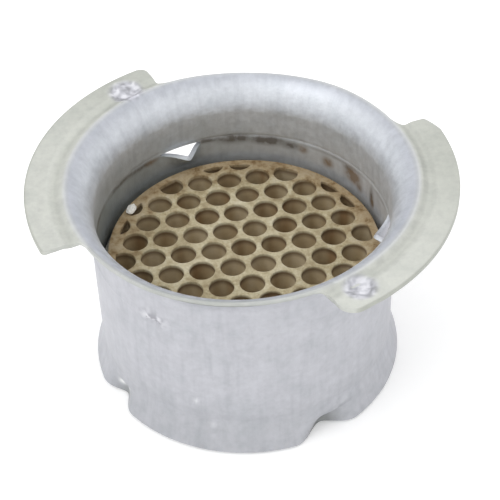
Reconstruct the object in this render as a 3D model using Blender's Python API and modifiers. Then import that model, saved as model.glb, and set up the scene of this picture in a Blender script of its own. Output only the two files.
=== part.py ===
"""Burner cup with a ceramic honeycomb disc, for a twist-in mounting.

A cup drawn from one piece of aluminised sheet has a bell mouth with two wide
flat ears, three lances pressed in from its wall, and a flared skirt whose edge
is pinched in at four places.  The lances stop a ceramic honeycomb disc from
above; a flat ring resting on the pinches carries it from below; a fibre wrap
fills the space between disc and wall.

Metres, +Z up.  The origin is on the cup's axis, at the skirt's lower edge.
"""
from math import atan2, cos, hypot, pi, radians, sin, sqrt

import bmesh
import bpy

# ---- driving dimensions -------------------------------------------------
FIT_GAP = 0.0003          # between pieces that touch

# cup
CUP_HEIGHT = 0.0474       # skirt edge to the ears' top face
WALL_RADIUS = 0.0318      # outside of the straight wall
SHEET = 0.0010

# bell mouth and rim
BELL_FLARE = 0.0048       # how far the mouth widens, wall to crown
BELL_HEIGHT = 0.0075
CROWN_RISE = 0.00025      # crown above the ears' top face
LIP_WIDTH = 0.0005        # crown to the trimmed rim edge
TROUGH_DEPTH = 0.00035    # crease round the crown, below the ears' top face
TROUGH_WIDTH = 0.0016     # crown to the middle of the crease
FLAT_START = 0.0030       # crown to where the ears are flat

# ears
EAR_REACH = 0.0080        # rim edge to the ears' outer edge
EAR_SPANS = ((118.4, 208.6), (-66.2, 24.0))    # degrees about Z
EAR_CORNERS = ((0.0022, 0.0008), (0.0036, 0.0024))
EAR_ROOT_FILLET = 0.0022
DETENT_RADIUS = 0.0035
DETENT_DEPTH = 0.0004
DETENT_INSET = 0.0044     # detent centre in from the ears' outer edge
DETENT_FROM_END = 10.0    # degrees in from the ear's marked end

# lances that stop the disc from above
LANCE_COUNT = 3
LANCE_ANGLE = 116.2       # degrees, centre of the first
LANCE_DROP = 0.0142       # ears' top face to the cut
LANCE_WIDTH = 0.0100
LANCE_DEPTH = 0.0033      # how far the lip stands into the cup
LANCE_HEIGHT = 0.0054
LANCE_KERF = 0.0004

# skirt
SKIRT_HEIGHT = 0.0074
SKIRT_FLARE = 0.0020
WAIST_NECK = 0.0003       # waist narrower than the wall, on the radius
NECK_HEIGHT = 0.0030      # above the waist
PINCH_COUNT = 4
PINCH_ANGLE = -61.0       # degrees, centre of the first
PINCH_WIDTH = 0.0138
PINCH_DEPTH = 0.0035
PINCH_HEIGHT = 0.0060

# honeycomb disc, held between the lances and the support ring
DISC_LAP = 0.0003         # disc's top above the lances' lower ends
DISC_SKIN = 0.0014        # unbroken band round the disc
HOLE_PITCH = 0.00648
HOLE_DIAMETER = 0.0052
HOLE_ROW_ANGLE = 7.4      # degrees
HOLE_SHIFT = (0.0021, 0.0061)

# fibre wrap
WRAP_THICKNESS = 0.0015
WRAP_SETBACK = 0.0030     # below the disc's top, and above the neck

# support ring
RING_THICKNESS = 0.0010
RING_LAND = 0.0057        # outer radius to bore

# cement dab on the disc's edge
DAB_ANGLE = 152.0
DAB_SIZE = (0.0012, 0.0019, 0.0006)            # radial, round the edge, up

# facets
CUP_SEGMENTS = 84
SKIRT_STEPS = 4
LIP_STEPS = 3
BELL_STEPS = 6
CORNER_STEPS = 5
NOTCH_STEPS = 16
DETENT_SIDES = 20
HOLE_SIDES = 10
RING_SIDES = 64

# ---- sizes worked out from them -----------------------------------------
wall_inner = WALL_RADIUS - SHEET
waist_inner = wall_inner - WAIST_NECK
crown_radius = wall_inner + BELL_FLARE
rim_radius = crown_radius + LIP_WIDTH
ear_radius = rim_radius + EAR_REACH
skirt_inner = waist_inner + SKIRT_FLARE
lance_top = CUP_HEIGHT - LANCE_DROP
lance_edge = lance_top - LANCE_KERF
disc_radius = wall_inner - WRAP_THICKNESS - 2 * FIT_GAP
disc_top = lance_edge - LANCE_HEIGHT + DISC_LAP
ring_radius = waist_inner - FIT_GAP
half_lance = 0.5 * LANCE_WIDTH / wall_inner    # radians
half_pinch = 0.5 * PINCH_WIDTH / skirt_inner


def clear_scene():
    for thing in list(bpy.data.objects):
        bpy.data.objects.remove(thing, do_unlink=True)


def make_collection(name):
    collection = bpy.data.collections.new(name)
    bpy.context.scene.collection.children.link(collection)
    return collection


def make_material(name, colour, roughness, metallic):
    material = bpy.data.materials.new(name)
    material.use_nodes = True
    shader = material.node_tree.nodes["Principled BSDF"]
    shader.inputs["Base Color"].default_value = (*colour, 1.0)
    shader.inputs["Roughness"].default_value = roughness
    shader.inputs["Metallic"].default_value = metallic
    return material


def add_object(name, data, collection, material=None):
    thing = bpy.data.objects.new(name, data)
    collection.objects.link(thing)
    if material:
        data.materials.append(material)
    return thing


def shade_round(mesh, angle=35.0):
    mesh.shade_smooth()
    mesh.set_sharp_from_angle(angle=radians(angle))


def polar(radius, degrees, z=0.0):
    return (radius * cos(radians(degrees)), radius * sin(radians(degrees)), z)


def angle_between(a, b):
    """Smallest signed turn from b to a, in radians."""
    return (a - b + pi) % (2 * pi) - pi


def lance_angles():
    return [radians(LANCE_ANGLE + 360.0 * i / LANCE_COUNT) for i in range(LANCE_COUNT)]


def pinch_angles():
    return [radians(PINCH_ANGLE + 360.0 * i / PINCH_COUNT) for i in range(PINCH_COUNT)]


# ---- burner cup ---------------------------------------------------------
def skirt_radius(z):
    """Inner radius of the flared skirt where nothing is pinched."""
    return waist_inner + SKIRT_FLARE * (1 - z / SKIRT_HEIGHT)


def pinch_at(z):
    """How far the middle of a pinch stands in at a height."""
    return PINCH_DEPTH * (1 - (z / PINCH_HEIGHT) ** 2) if z < PINCH_HEIGHT else 0.0


def pinch_seat():
    """Height at which the pinches are close enough together to carry the support ring."""
    low, high = 0.0, min(PINCH_HEIGHT, SKIRT_HEIGHT)
    while high - low > 1e-6:
        middle = 0.5 * (low + high)
        if skirt_radius(middle) - pinch_at(middle) < ring_radius + FIT_GAP:
            low = middle
        else:
            high = middle
    return high


def cup_profile():
    """The sheet's inner and upper face, from the skirt's edge to the ears' edge."""
    skirt_levels = [SKIRT_HEIGHT * i / SKIRT_STEPS for i in range(SKIRT_STEPS + 1)]
    points = [(skirt_radius(z), z) for z in skirt_levels]
    points.append((wall_inner, SKIRT_HEIGHT + NECK_HEIGHT))
    lip_levels = [lance_edge - LANCE_HEIGHT * (1 - i / LIP_STEPS) for i in range(LIP_STEPS + 1)]
    points += [(wall_inner, z) for z in lip_levels]
    points.append((wall_inner, lance_top))
    bell_foot = CUP_HEIGHT + CROWN_RISE - BELL_HEIGHT
    for i in range(BELL_STEPS + 1):
        turn = 0.5 * pi * i / BELL_STEPS
        points.append((crown_radius - BELL_FLARE * cos(turn), bell_foot + BELL_HEIGHT * sin(turn)))
    points.append((crown_radius + TROUGH_WIDTH, CUP_HEIGHT - TROUGH_DEPTH))
    points.append((crown_radius + FLAT_START, CUP_HEIGHT))
    points.append((ear_radius, CUP_HEIGHT))
    return points


def onto_lance_ends(angle):
    """Moves the column of points nearest a lance's end onto it."""
    half_step = pi / CUP_SEGMENTS
    for centre in lance_angles():
        for end in (centre - half_lance, centre + half_lance):
            if abs(angle_between(angle, end)) <= half_step:
                return end
    return angle


def lance_push(angle, z):
    """How far a lance's lip stands in from the wall."""
    drop = (lance_edge - z) / LANCE_HEIGHT
    if not -1e-4 <= drop <= 1.0:
        return 0.0
    across = min(abs(angle_between(angle, centre)) for centre in lance_angles()) / half_lance
    return LANCE_DEPTH * max(0.0, 1 - across ** 2) * (1 - drop) ** 1.2


def pinch_push(angle, z):
    """How far the skirt's edge is pinched in."""
    across = min(abs(angle_between(angle, centre)) for centre in pinch_angles()) / half_pinch
    return pinch_at(z) * cos(0.5 * pi * min(1.0, across)) ** 2


def cup_sheet():
    """The cup's inner and upper face, with its lances and pinches pressed in."""
    bm = bmesh.new()
    ring = [bm.verts.new((r, 0.0, z)) for r, z in cup_profile()]
    edges = [bm.edges.new(pair) for pair in zip(ring, ring[1:])]
    bmesh.ops.spin(bm, geom=ring + edges, cent=(0, 0, 0), axis=(0, 0, 1), angle=2 * pi,
                   steps=CUP_SEGMENTS, use_merge=True, use_duplicate=False)
    bmesh.ops.remove_doubles(bm, verts=bm.verts, dist=0.00001)
    for vert in bm.verts:
        radius = hypot(vert.co.x, vert.co.y)
        angle = onto_lance_ends(atan2(vert.co.y, vert.co.x))
        vert.co.x = radius * cos(angle)
        vert.co.y = radius * sin(angle)
    slots = []
    for face in bm.faces:
        middle = face.calc_center_median()
        turn = min(abs(angle_between(atan2(middle.y, middle.x), centre)) for centre in lance_angles())
        if lance_edge < middle.z < lance_top and turn < half_lance:
            slots.append(face)
    bmesh.ops.delete(bm, geom=slots, context="FACES")
    for vert in bm.verts:
        radius = hypot(vert.co.x, vert.co.y)
        angle = atan2(vert.co.y, vert.co.x)
        pushed = radius - lance_push(angle, vert.co.z) - pinch_push(angle, vert.co.z)
        vert.co.x *= pushed / radius
        vert.co.y *= pushed / radius
    mesh = bpy.data.meshes.new("burner_cup")
    bm.to_mesh(mesh)
    bm.free()
    return mesh


def corner_arc(centre, radius, start, end):
    """Points of an arc; angles in degrees."""
    turns = [radians(start + (end - start) * i / CORNER_STEPS) for i in range(CORNER_STEPS + 1)]
    return [(centre[0] + radius * cos(t), centre[1] + radius * sin(t)) for t in turns]


def notch_outline(start, end, start_corner, end_corner):
    """Outline of the flange trimmed away between two ears.

    Drawn flat, as (distance round the rim, radius), then wrapped round the axis.
    """
    length = radians(end - start) * ear_radius
    root = EAR_ROOT_FILLET
    beyond = ear_radius + EAR_REACH
    flat = corner_arc((root, rim_radius + root), root, 180, 270)
    shares = [i / NOTCH_STEPS for i in range(NOTCH_STEPS + 1)]
    flat += [(root + (length - 2 * root) * share, rim_radius) for share in shares[1:-1]]
    flat += corner_arc((length - root, rim_radius + root), root, 270, 360)
    flat += corner_arc((length + end_corner, ear_radius - end_corner), end_corner, 180, 90)
    flat.append((length + end_corner, beyond))
    flat += [(length * share, beyond) for share in reversed(shares)]
    flat.append((-start_corner, beyond))
    flat += corner_arc((-start_corner, ear_radius - start_corner), start_corner, 90, 0)
    first = radians(start)
    return [(r * cos(first + s / ear_radius), r * sin(first + s / ear_radius)) for s, r in flat]


def add_cutter(name, outline, low, high, collection):
    """A prism on a flat outline, kept as a cutter."""
    bm = bmesh.new()
    face = bm.faces.new([bm.verts.new((x, y, low)) for x, y in outline])
    lift = bmesh.ops.extrude_face_region(bm, geom=[face])
    raised = [item for item in lift["geom"] if isinstance(item, bmesh.types.BMVert)]
    bmesh.ops.translate(bm, verts=raised, vec=(0, 0, high - low))
    bmesh.ops.recalc_face_normals(bm, faces=bm.faces)
    mesh = bpy.data.meshes.new(name)
    bm.to_mesh(mesh)
    bm.free()
    cutter = add_object(name, mesh, collection)
    cutter.hide_render = True
    cutter.display_type = "WIRE"
    return cutter


def add_detent_cutter(name, angle, collection):
    """A shallow dished recess in an ear's top face."""
    bm = bmesh.new()
    bmesh.ops.create_cone(bm, cap_ends=True, segments=DETENT_SIDES, radius1=0.6 * DETENT_RADIUS,
                          radius2=DETENT_RADIUS + DETENT_DEPTH, depth=2 * DETENT_DEPTH)
    mesh = bpy.data.meshes.new(name)
    bm.to_mesh(mesh)
    bm.free()
    cutter = add_object(name, mesh, collection)
    cutter.location = polar(ear_radius - DETENT_INSET, angle, CUP_HEIGHT)
    cutter.hide_render = True
    cutter.display_type = "WIRE"
    return cutter


def cut(thing, cutter):
    modifier = thing.modifiers.new(cutter.name, "BOOLEAN")
    modifier.operation = "DIFFERENCE"
    modifier.solver = "EXACT"
    modifier.object = cutter


def make_burner_cup(parts, cutters):
    steel = make_material("aluminised_steel", (0.60, 0.60, 0.62), 0.45, 0.9)
    cup = add_object("burner_cup", cup_sheet(), parts, steel)
    wall = cup.modifiers.new("sheet", "SOLIDIFY")
    wall.thickness = SHEET
    wall.offset = -1.0
    wall.use_even_offset = True
    low, high = CUP_HEIGHT - 3 * SHEET, CUP_HEIGHT + 2 * SHEET
    left, right = EAR_SPANS
    left_corners, right_corners = EAR_CORNERS
    rear = notch_outline(right[1], left[0], right_corners[1], left_corners[0])
    front = notch_outline(left[1] - 360.0, right[0], left_corners[1], right_corners[0])
    cut(cup, add_cutter("rear_notch", rear, low, high, cutters))
    cut(cup, add_cutter("front_notch", front, low, high, cutters))
    for name, start in (("left_detent", left[0]), ("right_detent", right[0])):
        cut(cup, add_detent_cutter(name, start + DETENT_FROM_END, cutters))
    shade_round(cup.data)
    return cup


# ---- honeycomb disc -----------------------------------------------------
def disc_bottom():
    """The disc stands on the support ring, and the ring on the pinches."""
    return pinch_seat() + RING_THICKNESS + FIT_GAP


def hole_centres():
    """Close-packed rows of holes whose centres lie within the disc's skin."""
    core = disc_radius - DISC_SKIN
    rows = int(core / HOLE_PITCH) + 2
    turn = radians(HOLE_ROW_ANGLE)
    centres = []
    for row in range(-2 * rows, 2 * rows + 1):
        for place in range(-2 * rows, 2 * rows + 1):
            along = HOLE_PITCH * (place + 0.5 * row)
            across = HOLE_PITCH * row * sqrt(3) / 2
            x = HOLE_SHIFT[0] + along * cos(turn) - across * sin(turn)
            y = HOLE_SHIFT[1] + along * sin(turn) + across * cos(turn)
            if hypot(x, y) < core:
                centres.append((x, y))
    return centres


def add_outline(curve, points):
    spline = curve.splines.new("POLY")
    spline.points.add(len(points) - 1)
    for target, (x, y) in zip(spline.points, points):
        target.co = (x, y, 0.0, 1.0)
    spline.use_cyclic_u = True


def make_honeycomb_disc(parts):
    ceramic = make_material("cordierite_ceramic", (0.56, 0.46, 0.30), 0.9, 0.0)
    curve = bpy.data.curves.new("honeycomb_disc", "CURVE")
    curve.dimensions = "2D"
    curve.fill_mode = "BOTH"
    thickness = disc_top - disc_bottom()
    curve.extrude = 0.5 * thickness
    edge = [polar(disc_radius, 360.0 * i / RING_SIDES)[:2] for i in range(RING_SIDES)]
    add_outline(curve, edge)
    core = disc_radius - DISC_SKIN
    for cx, cy in hole_centres():
        hole = []
        for i in range(HOLE_SIDES):
            x, y, _ = polar(0.5 * HOLE_DIAMETER, 360.0 * i / HOLE_SIDES)
            x, y = cx + x, cy + y
            trim = min(1.0, core / hypot(x, y))     # the skin closes the outermost holes
            hole.append((x * trim, y * trim))
        add_outline(curve, hole)
    disc = add_object("honeycomb_disc", curve, parts, ceramic)
    disc.location.z = disc_top - 0.5 * thickness
    weld = disc.modifiers.new("weld", "WELD")
    weld.merge_threshold = 0.00001
    return disc


# ---- turned rings -------------------------------------------------------
def add_ring(name, inner, outer, low, high, parts, material):
    """A flat-sided ring, turned from a rectangle."""
    bm = bmesh.new()
    corners = [(outer, high), (outer, low), (inner, low), (inner, high)]
    verts = [bm.verts.new((r, 0.0, z)) for r, z in corners]
    for a, b in zip(verts, verts[1:] + verts[:1]):
        bm.edges.new((a, b))
    mesh = bpy.data.meshes.new(name)
    bm.to_mesh(mesh)
    bm.free()
    ring = add_object(name, mesh, parts, material)
    turned = ring.modifiers.new("turned", "SCREW")
    turned.axis = "Z"
    turned.angle = 2 * pi
    turned.steps = turned.render_steps = RING_SIDES
    turned.use_merge_vertices = True
    turned.merge_threshold = 0.00001
    return ring


def make_fibre_wrap(parts):
    fibre = make_material("ceramic_fibre", (0.80, 0.78, 0.72), 1.0, 0.0)
    low = SKIRT_HEIGHT + NECK_HEIGHT + WRAP_SETBACK
    return add_ring("fibre_wrap", disc_radius + FIT_GAP, wall_inner - FIT_GAP,
                    low, disc_top - WRAP_SETBACK, parts, fibre)


def make_support_ring(parts):
    steel = make_material("stainless_steel", (0.55, 0.54, 0.52), 0.4, 1.0)
    low = pinch_seat()
    return add_ring("support_ring", ring_radius - RING_LAND, ring_radius,
                    low, low + RING_THICKNESS, parts, steel)


# ---- cement dab ---------------------------------------------------------
def make_cement_dab(parts):
    cement = make_material("refractory_cement", (0.78, 0.76, 0.70), 0.95, 0.0)
    bm = bmesh.new()
    bmesh.ops.create_uvsphere(bm, u_segments=16, v_segments=10, radius=1.0)
    bmesh.ops.scale(bm, verts=bm.verts, vec=DAB_SIZE)
    mesh = bpy.data.meshes.new("cement_dab")
    bm.to_mesh(mesh)
    bm.free()
    dab = add_object("cement_dab", mesh, parts, cement)
    dab.location = polar(disc_radius, DAB_ANGLE, disc_top + FIT_GAP + DAB_SIZE[2])
    dab.rotation_euler.z = radians(DAB_ANGLE)
    shade_round(mesh, 60.0)
    return dab


def build():
    clear_scene()
    parts = make_collection("burner_assembly")
    cutters = make_collection("cutters")
    make_burner_cup(parts, cutters)
    make_honeycomb_disc(parts)
    make_fibre_wrap(parts)
    make_support_ring(parts)
    make_cement_dab(parts)


build()
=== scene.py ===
from math import cos, degrees, pi, radians, sin, sqrt

import bmesh
import bpy
import numpy as np
from mathutils import Matrix, Vector, noise


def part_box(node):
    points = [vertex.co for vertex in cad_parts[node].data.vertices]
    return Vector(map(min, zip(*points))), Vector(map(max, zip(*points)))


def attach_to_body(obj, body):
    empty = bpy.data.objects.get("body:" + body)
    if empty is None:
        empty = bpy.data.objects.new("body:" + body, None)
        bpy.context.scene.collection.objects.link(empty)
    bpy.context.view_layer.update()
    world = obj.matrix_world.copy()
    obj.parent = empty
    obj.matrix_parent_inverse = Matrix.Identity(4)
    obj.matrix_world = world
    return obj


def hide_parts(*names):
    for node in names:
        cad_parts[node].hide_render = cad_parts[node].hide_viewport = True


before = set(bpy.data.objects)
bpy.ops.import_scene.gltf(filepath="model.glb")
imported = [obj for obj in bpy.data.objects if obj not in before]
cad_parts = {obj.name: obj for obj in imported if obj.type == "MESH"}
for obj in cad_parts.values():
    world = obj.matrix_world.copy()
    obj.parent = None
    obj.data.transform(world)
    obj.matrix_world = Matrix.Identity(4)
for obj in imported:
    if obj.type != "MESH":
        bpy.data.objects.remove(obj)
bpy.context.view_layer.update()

# Burner cup drawn from aluminised sheet, with its ceramic honeycomb disc.
# Lengths in the dictionaries are in millimetres and angles in degrees about the cup's axis.
mm = 0.001


def toLinear(hexColour):
    channels = [int(hexColour[i:i + 2], 16) / 255 for i in (1, 3, 5)]
    linear = [c / 12.92 if c <= 0.04045 else ((c + 0.055) / 1.055) ** 2.4 for c in channels]
    return (*linear, 1.0)


# settings of a Mix node that tints one colour with another, or lays it over
tinting = {"data_type": "RGBA", "blend_type": "MULTIPLY"}
covering = {"data_type": "RGBA"}


# a node's inputs: plain values, hex colours, or what feeds them, which is a socket or a whole node
def feed(tree, node, inputs):
    for name, value in inputs.items():
        if isinstance(value, bpy.types.Node):
            value = next(socket for socket in value.outputs if socket.enabled)
        if isinstance(value, bpy.types.NodeSocket):
            tree.links.new(value, node.inputs[name])
        elif isinstance(value, str) and value.startswith("#"):
            node.inputs[name].default_value = toLinear(value)
        else:
            node.inputs[name].default_value = value


# one node with its settings, colour stops and inputs; a kind named in short is a shader node
def addNode(tree, kind, inputs=None, stops=None, **settings):
    node = tree.nodes.new(kind if "Node" in kind else "ShaderNode" + kind)
    for name, value in settings.items():
        setattr(node, name, value)
    for place, (position, colour) in enumerate(stops or []):
        ramp = node.color_ramp.elements
        stop = ramp[place] if place < len(ramp) else ramp.new(position)
        stop.position, stop.color = position, toLinear(colour)
    feed(tree, node, inputs or {})
    return node


def newMaterial(name):
    material = bpy.data.materials.new(name)
    material.use_nodes = True
    return material, material.node_tree, material.node_tree.nodes["Principled BSDF"]


def newPiece(name, mesh):
    piece = bpy.data.objects.new(name, mesh)
    bpy.context.scene.collection.objects.link(piece)
    return piece


def meshFrom(name, points, faces):
    mesh = bpy.data.meshes.new(name)
    mesh.from_pydata((points * mm).tolist(), [], faces)
    return mesh


# the piece's mesh as its modifiers leave it, in place of the one that it had
def bakeModifiers(piece):
    evaluated = piece.evaluated_get(bpy.context.evaluated_depsgraph_get())
    baked = bpy.data.meshes.new_from_object(evaluated)
    piece.modifiers.clear()
    piece.data = baked
    baked.name = piece.name
    return baked


# smooth noise from -1 to 1 at each point; size is the width of a lump
def lumps(points, size, seed=0.0):
    shift = Vector((seed * 7.31, seed * 3.17, seed * 5.53))
    return np.array([noise.noise(Vector(p) / size + shift) for p in points])


def smoothStep(x):
    x = np.clip(x, 0.0, 1.0)
    return x * x * (3 - 2 * x)


# smallest signed turn from b to a, in degrees
def turnFrom(a, b):
    return (a - b + 180) % 360 - 180


def attach(piece, node):
    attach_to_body(piece, "root")
    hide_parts(node)
    print(piece.name, "made,", len(piece.data.polygons), "faces")


# camera: where it stands, the point it looks at, its lens and film in mm, its roll and its reach in m
view = {
    "place": (0, -221.9, 232.76), "aim": (1.24, 0, 26.74), "roll": -1.82,
    "lens": 102.3, "film": 36, "nearest": 0.01, "farthest": 20,
}


def makeCamera():
    camera = bpy.data.objects.new("studioCamera", bpy.data.cameras.new("studioCamera"))
    bpy.context.scene.collection.objects.link(camera)
    camera.location = Vector(view["place"]) * mm
    turn = (Vector(view["aim"]) * mm - camera.location).to_track_quat("-Z", "Y").to_matrix().to_4x4()
    camera.matrix_world = (Matrix.Translation(camera.location) @ turn
                           @ Matrix.Rotation(radians(view["roll"]), 4, "Z"))
    camera.data.lens = view["lens"]
    camera.data.sensor_width = view["film"]
    camera.data.clip_start, camera.data.clip_end = view["nearest"], view["farthest"]
    bpy.context.scene.camera = camera


# soft light all round and three square lamps, aimed at the middle of the part's foot
light = {
    "world": 0.98,
    "key": {"place": (-420, -260, 620), "size": 420, "watts": 1.45},
    "fill": {"place": (520, -300, 380), "size": 500, "watts": 0.06},
    "back": {"place": (60, 420, 640), "size": 320, "watts": 0.35},
}
# the floor's radius and height are in metres
floorBoard = {
    "radius": 3.0, "height": -0.0002, "paint": "#FAFAFA", "roughness": 0.9, "specular": 0.1, "glow": 0.16,
}


def makeStudio():
    world = bpy.data.worlds.new("studioWorld")
    bpy.context.scene.world = world
    world.use_nodes = True
    sky = world.node_tree
    feed(sky, sky.nodes["Background"], {"Color": "#FFFFFF", "Strength": light["world"]})
    for name in ("key", "fill", "back"):
        lamp = bpy.data.objects.new(name + "Light", bpy.data.lights.new(name + "Light", "AREA"))
        bpy.context.scene.collection.objects.link(lamp)
        lamp.location = Vector(light[name]["place"]) * mm
        lamp.rotation_euler = (-lamp.location).to_track_quat("-Z", "Y").to_euler()
        lamp.data.size = light[name]["size"] * mm
        lamp.data.energy = light[name]["watts"]
    bpy.ops.mesh.primitive_circle_add(vertices=64, radius=floorBoard["radius"], fill_type="NGON",
                                      location=(0, 0, floorBoard["height"]))
    floor = bpy.context.object
    floor.name = "paleFloor"
    # painted board under the part: matt white, lit a little from within so that it stays pale
    paint, tree, shader = newMaterial("mattWhiteBoard")
    feed(tree, shader, {
        "Base Color": floorBoard["paint"], "Roughness": floorBoard["roughness"],
        "Specular IOR Level": floorBoard["specular"], "Emission Color": "#FFFFFF",
        "Emission Strength": floorBoard["glow"]})
    floor.data.materials.append(paint)
    bpy.context.scene.view_settings.view_transform = "Standard"


makeCamera()
makeStudio()
print("camera, floor and light made")


# burner cup
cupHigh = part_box("burner_cup")[1]
cup = {
    "sheet": 1.0, "wallInner": 30.8, "crownRise": 0.25, "waistNeck": 0.3,
    "skirtHeight": 7.4, "skirtFlare": 2.0, "skirtCurl": 0.25, "neckStart": 1.5, "neckHeight": 3.0,
    "waistRound": 1.0, "waistFold": 0.14, "slotBand": 1.2,
    "bellFlare": 5.15, "bellHeight": 7.6, "bellCone": 1.3, "lipWidth": 0.25,
    "troughWidth": 2.1, "troughDepth": 0.38, "flatStart": 3.9, "earCorner": 4.2,
    "columns": 416, "edgeRound": 0.14,
    "warp": 0.10, "warpSize": 22.0, "hammer": 0.022, "hammerSize": 3.2, "rimLift": 0.8, "liftRows": 14,
    "edgeWave": 0.162, "edgeWaveSize": 9.0, "edgeWaveHeight": 3.0,
    "drawLineDepth": 13.75, "drawLineGroove": 0.13, "drawLineWidth": 0.32,
}
# how many rows of points each stretch of the sheet gets, from the skirt up and out to the ears' edge
rowCuts = {
    "skirt": 13, "waist": 8, "neck": 4, "wall": 13, "lip": 15, "slot": 1, "overSlot": 5, "upperWall": 7,
    "bell": 20, "rim": 4, "trough": 10, "flat": 6, "corner": 11,
}
# start and end, the ends' corners as (inwards, along the edge, roundness), and how far they lean
ears = [
    {"start": 118.4, "end": 208.6, "corners": ((1.6, 1.9, 1.7), (0.8, 0.9, 2.0)), "lean": (0.0, 0.5)},
    {"start": -66.2, "end": 24.0, "corners": ((3.6, 3.6, 2.0), (1.6, 4.6, 1.15)), "lean": (0.6, 0.6)},
]
earRoot = 2.2             # fillet where an ear's end meets the rim
earBlend = 24.0           # how far in from an ear's end its columns lean with the end
detents = [
    {"angle": 129.2, "radius": 38.9, "size": 3.9, "depth": 0.45, "burr": 0.14},
    {"angle": -57.3, "radius": 39.6, "size": 3.4, "depth": 0.42, "burr": 0.12},
]
# where a detent's floor ends and its raised burr stands, as shares of its size
detentShape = {"floor": 0.35, "burrAt": 1.08, "burrWidth": 0.16}
# places are angles and shares of the full width; the lip has its point off its middle, is hollow
# along its longer side and its fold, and swings down as it goes in
lance = {
    "places": ((116.2, 1.0), (-3.8, 1.0), (-125.2, 0.4)),
    "drop": 14.2, "kerf": 0.4, "width": 10.0, "depth": 3.5, "height": 5.4,
    "apex": -0.18, "blunt": 0.16, "swing": 0.34, "longSide": 1.25, "fold": 1.35,
}
# how deep, how wide at the edge, how high, how sharp the fold is, and how it leans in degrees a mm
pinches = [
    {"angle": -61.5, "depth": 3.8, "width": 15.0, "height": 5.4, "sharp": 1.9, "lean": 1.0},
    {"angle": 29.0, "depth": 3.2, "width": 13.2, "height": 6.0, "sharp": 2.0, "lean": 0.0},
    {"angle": 119.0, "depth": 3.3, "width": 13.0, "height": 6.0, "sharp": 1.9, "lean": -0.5},
    {"angle": -149.4, "depth": 2.9, "width": 12.6, "height": 6.0, "sharp": 2.1, "lean": 0.3},
]
# the rim is bent a little between the ears, more at the front than at the back
bends = [
    {"angle": -105.0, "spread": 62.0, "widen": 0.1, "drop": 0.75, "below": 9.0},
    {"angle": 84.0, "spread": 34.0, "widen": -0.4, "drop": 0.45, "below": 9.0},
]
earTop = cupHigh.z / mm - cup["crownRise"]
earRadius = cupHigh.x / mm
crownRadius = cup["wallInner"] + cup["bellFlare"]
rimRadius = crownRadius + cup["lipWidth"]
waistInner = cup["wallInner"] - cup["waistNeck"]
lanceTop = earTop - lance["drop"]
lanceEdge = lanceTop - lance["kerf"]
lanceHalf = degrees(0.5 * lance["width"] / cup["wallInner"])
rootTurn = degrees(earRoot / rimRadius)


# height of the sheet outside the crown: down into the trough, then up to the ear's flat
def earHeight(radius):
    out = radius - crownRadius
    if out < cup["troughWidth"]:
        drop = 0.5 - 0.5 * cos(pi * out / cup["troughWidth"])
        return earTop + cup["crownRise"] - drop * (cup["crownRise"] + cup["troughDepth"])
    rise = smoothStep((out - cup["troughWidth"]) / (cup["flatStart"] - cup["troughWidth"]))
    return earTop - cup["troughDepth"] + cup["troughDepth"] * rise


# radius and height of the sheet's inner and upper face, row by row, and which row is the rim's
def cupRows():
    skirt, waist = cup["skirtHeight"], cup["waistRound"]
    rows = []
    skirtRows = np.linspace(0, skirt - waist, rowCuts["skirt"])
    waistRows = skirt + waist * np.linspace(-0.75, 1, rowCuts["waist"])
    neckRows = np.linspace(skirt + cup["neckStart"], skirt + cup["neckHeight"], rowCuts["neck"])
    for z in np.concatenate([skirtRows, waistRows, neckRows]):
        flare = max(0.0, 1 - z / skirt)
        neck = np.clip((z - skirt) / cup["neckHeight"], 0, 1)
        fold = max(0.0, 1 - abs(z - skirt) / waist)
        radius = waistInner + cup["skirtFlare"] * flare + cup["skirtCurl"] * flare ** 4
        rows.append((radius + cup["waistNeck"] * neck + cup["waistFold"] * fold ** 2, z))
    bellFoot = earTop + cup["crownRise"] - cup["bellHeight"]
    lipFoot, slotTop = lanceEdge - lance["height"], lanceTop + cup["slotBand"]
    stops = [rows[-1][1], lipFoot, lanceEdge, lanceTop, slotTop, bellFoot]
    counts = [rowCuts[name] for name in ("wall", "lip", "slot", "overSlot", "upperWall")]
    for low, high, count in zip(stops, stops[1:], counts):
        rows += [(cup["wallInner"], low + (high - low) * i / count) for i in range(1, count + 1)]
    for i in range(1, rowCuts["bell"] + 1):
        turn = 0.5 * pi * i / rowCuts["bell"]
        rows.append((crownRadius - cup["bellFlare"] * max(cos(turn), 0) ** cup["bellCone"],
                     bellFoot + cup["bellHeight"] * sin(turn) ** cup["bellCone"]))
    lipRows = [crownRadius + cup["lipWidth"] * i / rowCuts["rim"] for i in range(1, rowCuts["rim"] + 1)]
    rimRow = len(rows) + len(lipRows) - 1
    flatStart, flatEnd = crownRadius + cup["flatStart"], earRadius - cup["earCorner"]
    troughRows = np.linspace(rimRadius, flatStart, rowCuts["trough"])[1:]
    flatRows = np.linspace(flatStart, flatEnd, rowCuts["flat"])[1:]
    cornerTurns = np.radians(np.linspace(0, 90, rowCuts["corner"])[1:])
    cornerRows = flatEnd + cup["earCorner"] * np.sin(cornerTurns)
    outRows = np.concatenate([lipRows, troughRows, flatRows, cornerRows])
    rows += [(radius, earHeight(radius)) for radius in outRows]
    return np.array(rows), rimRow


# how far an ear's end stands past its own line at a radius, in degrees
def endOffset(radius, corner, lean):
    inward, along, roundness = corner
    root = np.clip((rimRadius + earRoot - radius) / earRoot, 0, 1)
    offset = earRoot * (1 - np.sqrt(1 - root ** 2))
    tip = np.clip((radius - (earRadius - inward)) / inward, 0, 1)
    offset -= along * (1 - (1 - tip ** roundness) ** (1 / roundness))
    offset -= lean * np.clip((radius - rimRadius) / (earRadius - rimRadius), 0, 1)
    return np.degrees(offset / radius)


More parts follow.
